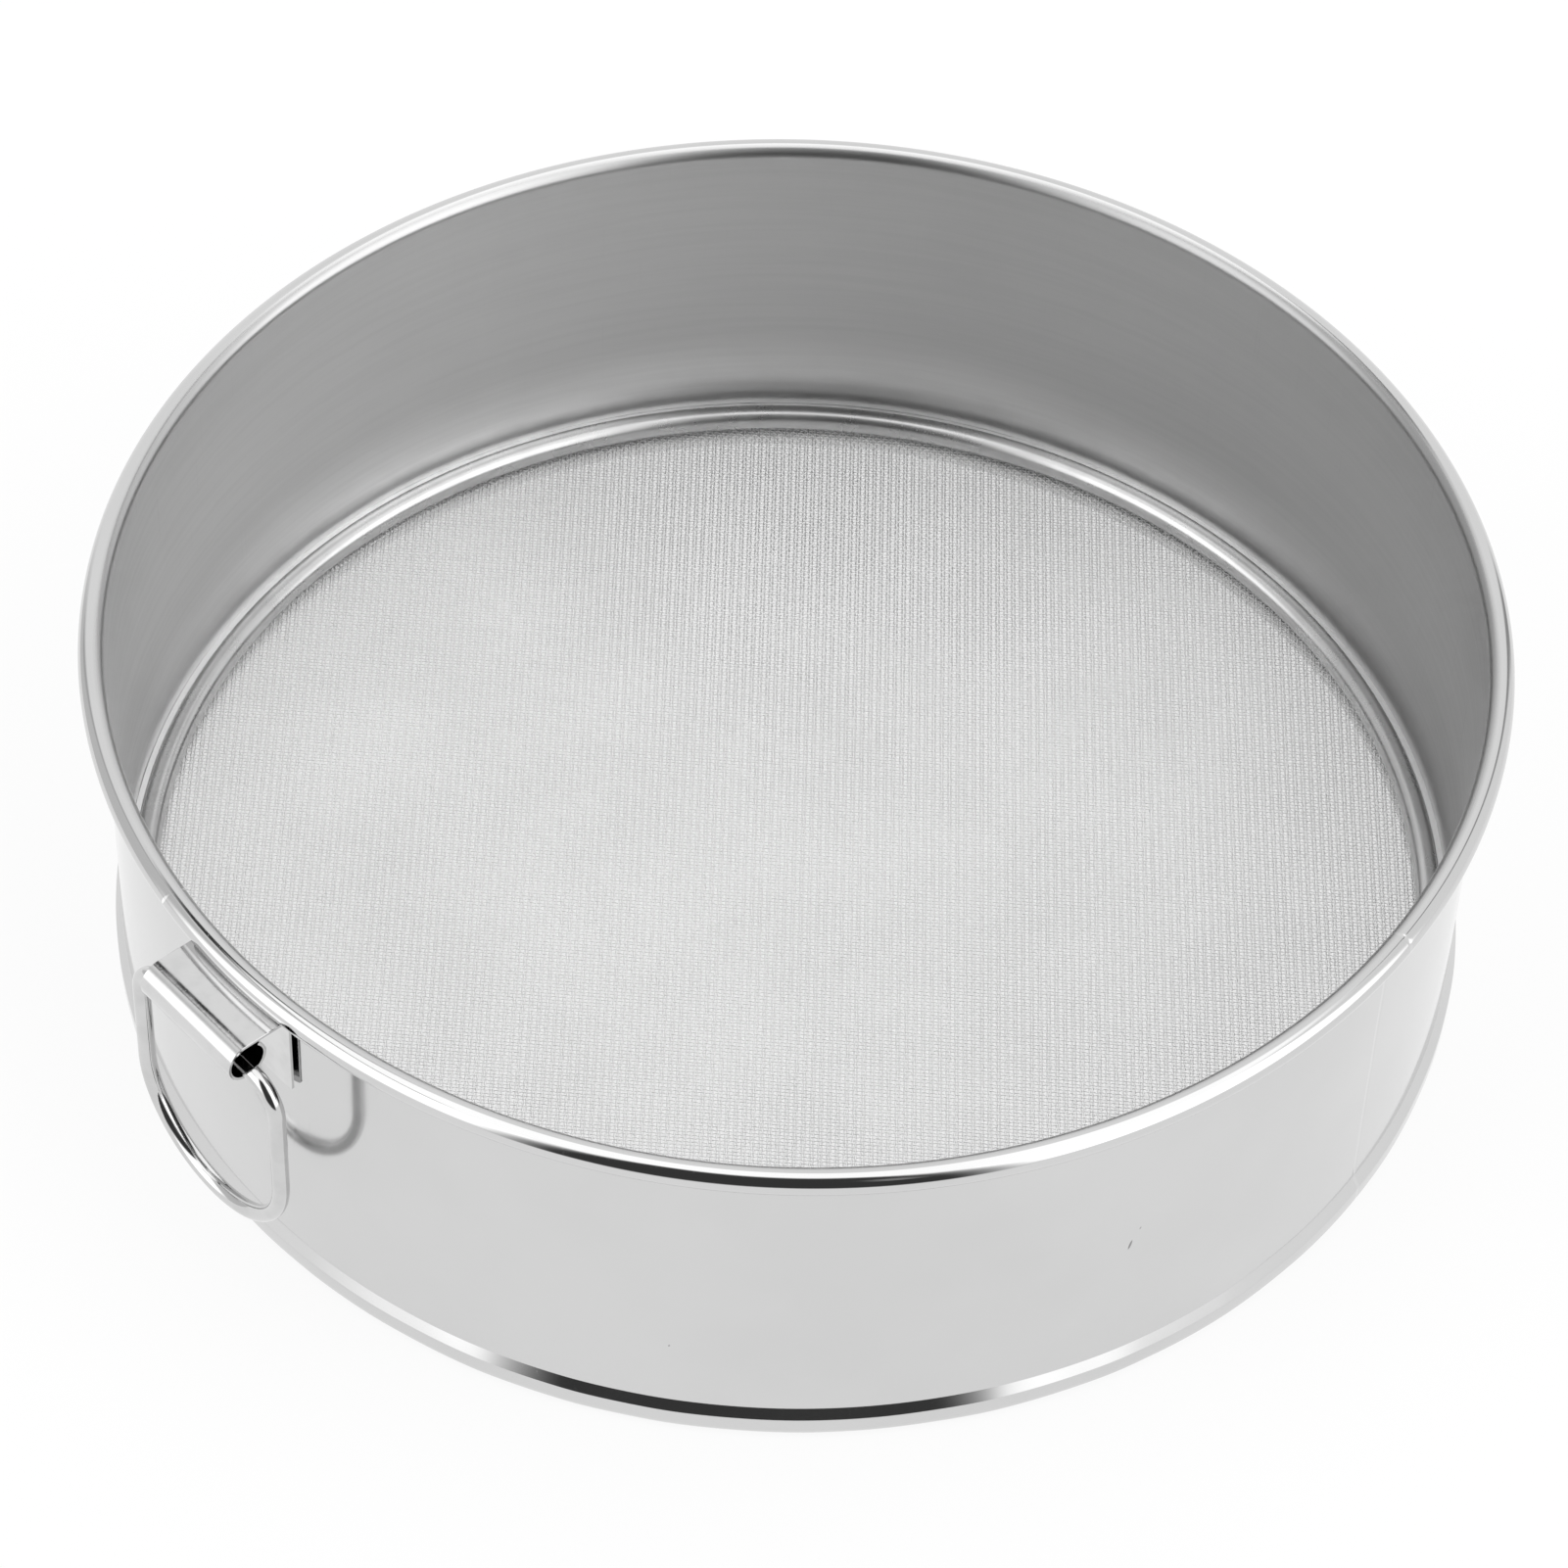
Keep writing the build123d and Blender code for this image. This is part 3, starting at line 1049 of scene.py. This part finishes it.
def floor_paper(studio):
    """Pale paper: the lens and the steel see it near white, and it keeps the object's shadow."""
    material = bpy.data.materials.new("Studio paper")
    material.use_nodes = True
    tree = material.node_tree
    paper = tree.nodes["Principled BSDF"]
    coordinates = tree.nodes.new("ShaderNodeTexCoord").outputs["Object"]
    fibre = mottle(tree, coordinates, size=0.02, detail=4.0)
    colour = tinted(tree, fibre, shade(studio.floor_colour, 0.985), shade(studio.floor_colour, 1.0))
    tree.links.new(colour, paper.inputs["Base Color"])
    paper.inputs["Roughness"].default_value = 0.9
    paper.inputs["Specular IOR Level"].default_value = 0.0
    white = add_node(tree, "ShaderNodeEmission", Color=(1, 1, 1, 1), Strength=1.0)
    seen = seen_plainly(tree)
    length = add_node(tree, "ShaderNodeVectorMath", {"operation": "LENGTH"}, Vector=coordinates)
    # Painted shadow: less plain white is mixed in under the drum, so the paper seen through the mesh
    # shows more of its real shadow and looks darker.
    shade_edge = SCREEN_HIGH.x - studio.shade_blur
    shaded = studio.floor_glow * studio.under_drum
    glow = ramp(tree, length.outputs["Value"], shade_edge, SCREEN_HIGH.x, shaded, studio.floor_glow)
    share = reckon(tree, "MULTIPLY", seen, glow)
    mixed = add_node(tree, "ShaderNodeMixShader", Fac=share)
    tree.links.new(paper.outputs[0], mixed.inputs[1])
    tree.links.new(white.outputs[0], mixed.inputs[2])
    tree.links.new(mixed.outputs[0], tree.nodes["Material Output"].inputs["Surface"])
    return material


def seen_plainly(tree):
    """One for camera, glossy and transmission rays."""
    path = tree.nodes.new("ShaderNodeLightPath").outputs
    seen = reckon(tree, "MAXIMUM", path["Is Camera Ray"], path["Is Glossy Ray"])
    return reckon(tree, "MAXIMUM", seen, path["Is Transmission Ray"])


# Panels of the studio: the turn from the camera's side, right positive, and the height, in degrees,
# from where to where; how soft the edge is; and the light
PANELS = (
    ("right rear wall", (95, 136), (-20, 52), 6, 0.95),
    ("left rear wall", (-136, -92), (-20, 52), 6, 0.7),
    ("right gap", (132, 141), (0, 56), 3, 0.35),
    ("left gap", (-133, -127), (15, 58), 3, 0.5),
    ("right box", (34, 92), (4, 60), 6, 2.2),
    ("left box", (-88, -40), (4, 56), 8, 2.2),
    ("overhead box", (-200, 200), (58, 100), 3, 1.55),
    ("overhead frame", (-168, -124), (53, 58), 1.5, 0.02),
    ("overhead frame, side", (-124, -64), (57, 60), 2, 0.3),
    ("dark camera side", (-35, 29), (-8, 77), 6.5, 0.05),
    ("window by the camera", (15, 21), (36, 52), 3, 0.3),
)


def light_the_room(tree):
    """A soft studio by direction: white all round, lit boxes, and dark on the camera's side."""
    direction = tree.nodes.new("ShaderNodeTexCoord").outputs["Generated"]
    x, y, z = add_node(tree, "ShaderNodeSeparateXYZ", Vector=direction).outputs
    turn = reckon(tree, "DEGREES", reckon(tree, "ARCTAN2", x, reckon(tree, "MULTIPLY", y, -1.0)))
    height = reckon(tree, "DEGREES", reckon(tree, "ARCSINE", z))
    level = 1.0
    for _, (left, right), (low, high), soft, light in PANELS:
        mask = 1.0
        for value, first, last in ((turn, left, right), (height, low, high)):
            mask = reckon(tree, "MULTIPLY", mask, ramp(tree, value, first - soft, first + soft))
            mask = reckon(tree, "MULTIPLY", mask, ramp(tree, value, last + soft, last - soft))
        level = between(tree, mask, level, light)
    return level


class SIEVE_OT_studio(bpy.types.Operator):
    """Set up the pale floor, the soft light and the camera."""

    bl_idname = "sieve.studio"
    bl_label = "Studio"
    bl_options = {"REGISTER", "UNDO"}

    def execute(self, context):
        scene = context.scene
        studio = scene.sieve.studio

        bm = bmesh.new()
        bmesh.ops.create_circle(bm, cap_ends=True, radius=studio.floor_radius, segments=FLOOR_SIDES)
        mesh = bpy.data.meshes.new("studio_floor")
        bm.to_mesh(mesh)
        bm.free()
        mesh.materials.append(floor_paper(studio))
        floor = bpy.data.objects.new("studio_floor", mesh)
        scene.collection.objects.link(floor)

        world = bpy.data.worlds.new("Soft studio")
        world.use_nodes = True
        tree = world.node_tree
        room = tree.nodes["Background"]
        room.inputs["Color"].default_value = (1, 1, 1, 1)
        tree.links.new(light_the_room(tree), room.inputs["Strength"])
        white = add_node(tree, "ShaderNodeBackground", Color=(1, 1, 1, 1), Strength=1.0)
        lens_ray = tree.nodes.new("ShaderNodeLightPath").outputs["Is Camera Ray"]
        mixed = add_node(tree, "ShaderNodeMixShader", Fac=lens_ray)
        tree.links.new(room.outputs[0], mixed.inputs[1])
        tree.links.new(white.outputs[0], mixed.inputs[2])
        tree.links.new(mixed.outputs[0], tree.nodes["World Output"].inputs["Surface"])
        scene.world = world

        data = bpy.data.cameras.new("Camera")
        data.lens = studio.lens
        data.sensor_width = 36
        data.clip_start = 0.01
        data.clip_end = 50
        camera = bpy.data.objects.new("Camera", data)
        place = Matrix.Translation(studio.place)
        turn = Matrix.Rotation(studio.tilt, 4, "X") @ Matrix.Rotation(studio.roll, 4, "Z")
        camera.matrix_world = place @ turn
        scene.collection.objects.link(camera)
        scene.camera = camera
        scene.view_settings.view_transform = "Standard"
        return {"FINISHED"}


class SIEVE_PT_sidebar(bpy.types.Panel):
    """Lists what builds the sieve, and the sizes and finishes it is built with."""

    bl_idname = "SIEVE_PT_sidebar"
    bl_label = "Drum Sieve"
    bl_space_type = "VIEW_3D"
    bl_region_type = "UI"
    bl_category = "Drum Sieve"

    def draw(self, context):
        for operator in OPERATORS:
            self.layout.operator(operator.bl_idname)
        for group in ("drum", "screen", "rings", "clip", "finish", "studio"):
            held = getattr(context.scene.sieve, group)
            box = self.layout.box()
            for name in held.bl_rna.properties.keys():
                if name not in ("rna_type", "name"):
                    box.prop(held, name)


GROUPS = (DrumSizes, ScreenSizes, RingSizes, ClipSizes, SteelFinish, StudioSettings, SieveSettings)
OPERATORS = (
    SIEVE_OT_studio,
    SIEVE_OT_drum,
    SIEVE_OT_rim_wire,
    SIEVE_OT_screen,
    SIEVE_OT_clamp_ring,
    SIEVE_OT_clip,
    SIEVE_OT_pull_ring,
)


def register():
    for group in (*GROUPS, *OPERATORS, SIEVE_PT_sidebar):
        bpy.utils.register_class(group)
    bpy.types.Scene.sieve = PointerProperty(type=SieveSettings)


def unregister():
    del bpy.types.Scene.sieve
    for group in reversed((*GROUPS, *OPERATORS, SIEVE_PT_sidebar)):
        bpy.utils.unregister_class(group)


def main():
    register()
    for operator in OPERATORS:
        family, name = operator.bl_idname.split(".")
        getattr(getattr(bpy.ops, family), name)()


if __name__ == "__main__":
    main()
